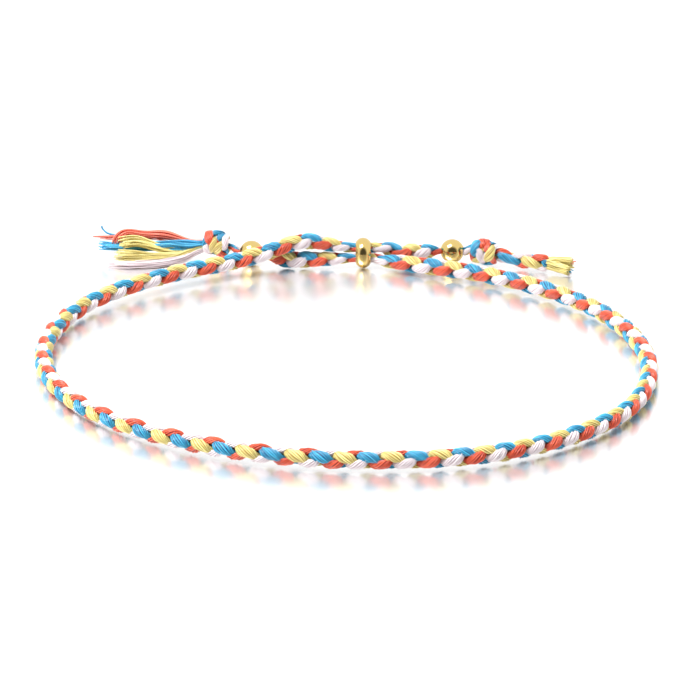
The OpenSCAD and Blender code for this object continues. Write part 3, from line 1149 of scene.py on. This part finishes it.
@dataclass
class Stage:
    """The glossy white surface, the soft light and the camera at the photograph's angle.

    Lengths are in metres, angles in degrees, and the lens and its sensor in millimetres.
    """

    # The camera, and by how many of the photograph's pixels its picture is shifted
    elevation: float = 19.62
    distance: float = 551 * MM
    lens: float = 239.9
    sensor: float = 36
    aim: tuple[float, float, float] = (0.47 * MM, 2.33 * MM, 0.0)
    photo_px: float = 700
    shift_px: tuple[float, float] = (0.6, 0.5)
    clip: tuple[float, float] = (0.01, 50)

    # The surface, and how far it lies under the bracelet so that no thread cuts into it
    floor_size: float = 6.0
    floor_drop: float = 0.08 * MM

    # The surroundings' brightness at the horizon and from zenith_from up
    horizon: float = 1.15
    zenith: float = 1.2
    zenith_from: float = 0.9

    # The dim side behind the camera, which gives the beads their dark patch: where it lies, how squarely a
    # ray faces it where it starts and where it is whole, and its brightness
    dark_side: tuple[float, float, float] = (0.0, -0.985, 0.17)
    dark_facing: tuple[float, float] = (0.5, 0.85)
    dark_level: float = 0.08

    # The large soft lamp overhead
    lamp_power: float = 4.2
    lamp_size: tuple[float, float] = (0.3, 0.2)
    lamp_at: tuple[float, float, float] = (-0.22, -0.12, 0.5)
    lamp_tilt: tuple[float, float, float] = (13, -23, 0)

    def camera(self) -> None:
        """Makes the camera and sets it as the scene's."""
        angle = math.radians(self.elevation)
        data = bpy.data.cameras.new("camera")
        data.lens, data.sensor_width = self.lens, self.sensor
        data.shift_x, data.shift_y = (shift / self.photo_px for shift in self.shift_px)
        data.clip_start, data.clip_end = self.clip
        eye = bpy.data.objects.new("camera", data)
        back = np.array([0, -math.cos(angle), math.sin(angle)]) * self.distance
        eye.location = np.array(self.aim) + back
        eye.rotation_euler = (math.pi / 2 - angle, 0, 0)
        bpy.context.scene.collection.objects.link(eye)
        bpy.context.scene.camera = eye

    def floor(self) -> None:
        """Makes the glossy white surface just under the bracelet."""
        half = self.floor_size / 2
        corners = [(-half, -half, 0), (half, -half, 0), (half, half, 0), (-half, half, 0)]
        mesh = bpy.data.meshes.new("floor")
        mesh.from_pydata(corners, [], [(0, 1, 2, 3)])
        mesh.materials.append(WhiteAcrylic().make())
        thing = bpy.data.objects.new("floor", mesh)
        thing.location.z = -self.floor_drop
        bpy.context.scene.collection.objects.link(thing)

    def surroundings(self) -> None:
        """Makes the white world round the bracelet, with a dim side behind the camera."""
        world = bpy.data.worlds.new("studio")
        world.use_nodes = True
        bpy.context.scene.world = world
        tree = world.node_tree
        place = add_node(tree, "ShaderNodeTexCoord")
        parts = add_node(tree, "ShaderNodeSeparateXYZ", links={0: place.outputs["Generated"]})
        sky = add_node(tree, "ShaderNodeMapRange",
                       {"interpolation_type": "SMOOTHSTEP", "From Max": self.zenith_from,
                        "To Min": self.horizon, "To Max": self.zenith},
                       {"Value": parts.outputs["Z"]})
        facing = add_node(tree, "ShaderNodeVectorMath", {"operation": "DOT_PRODUCT", 1: self.dark_side},
                          {0: place.outputs["Generated"]})
        dark = add_node(tree, "ShaderNodeMapRange",
                        {"interpolation_type": "SMOOTHSTEP", "From Min": self.dark_facing[0],
                         "From Max": self.dark_facing[1], "To Min": 1.0, "To Max": self.dark_level},
                        {"Value": facing.outputs["Value"]})
        both = add_node(tree, "ShaderNodeMath", {"operation": "MULTIPLY"},
                        {0: sky.outputs[0], 1: dark.outputs[0]})
        background = tree.nodes["Background"]
        background.inputs["Color"].default_value = linear("#ffffff")
        tree.links.new(both.outputs[0], background.inputs["Strength"])

    def softbox(self) -> None:
        """Makes the large soft lamp overhead."""
        data = bpy.data.lights.new("softbox", "AREA")
        data.energy, data.shape = self.lamp_power, "RECTANGLE"
        data.size, data.size_y = self.lamp_size
        lamp = bpy.data.objects.new("softbox", data)
        lamp.location = self.lamp_at
        lamp.rotation_euler = [math.radians(tilt) for tilt in self.lamp_tilt]
        bpy.context.scene.collection.objects.link(lamp)

    def build(self) -> None:
        """Builds the whole stage and shows colours as they are, without a film look."""
        self.camera()
        self.floor()
        self.surroundings()
        self.softbox()
        bpy.context.scene.view_settings.view_transform = "Standard"
        LOG.info("stage built")


def main() -> None:
    """Builds the bracelet and its stage, and logs each new piece's faces."""
    logging.basicConfig(level=logging.INFO, format="%(name)s: %(message)s")
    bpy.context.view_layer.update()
    Stage().build()
    cottons = dyed("cotton", BRAID_DYES_AND_SHADES)
    loose = dyed("loose_cotton", LOOSE_DYES_AND_SHADES)
    route = Route()
    Braid(route).build(cottons)
    TASSEL.build(route, loose)
    CUT_END.build(route, loose)
    Beads().dress(GoldPlatedBrass().make())


if __name__ == "__main__":
    main()
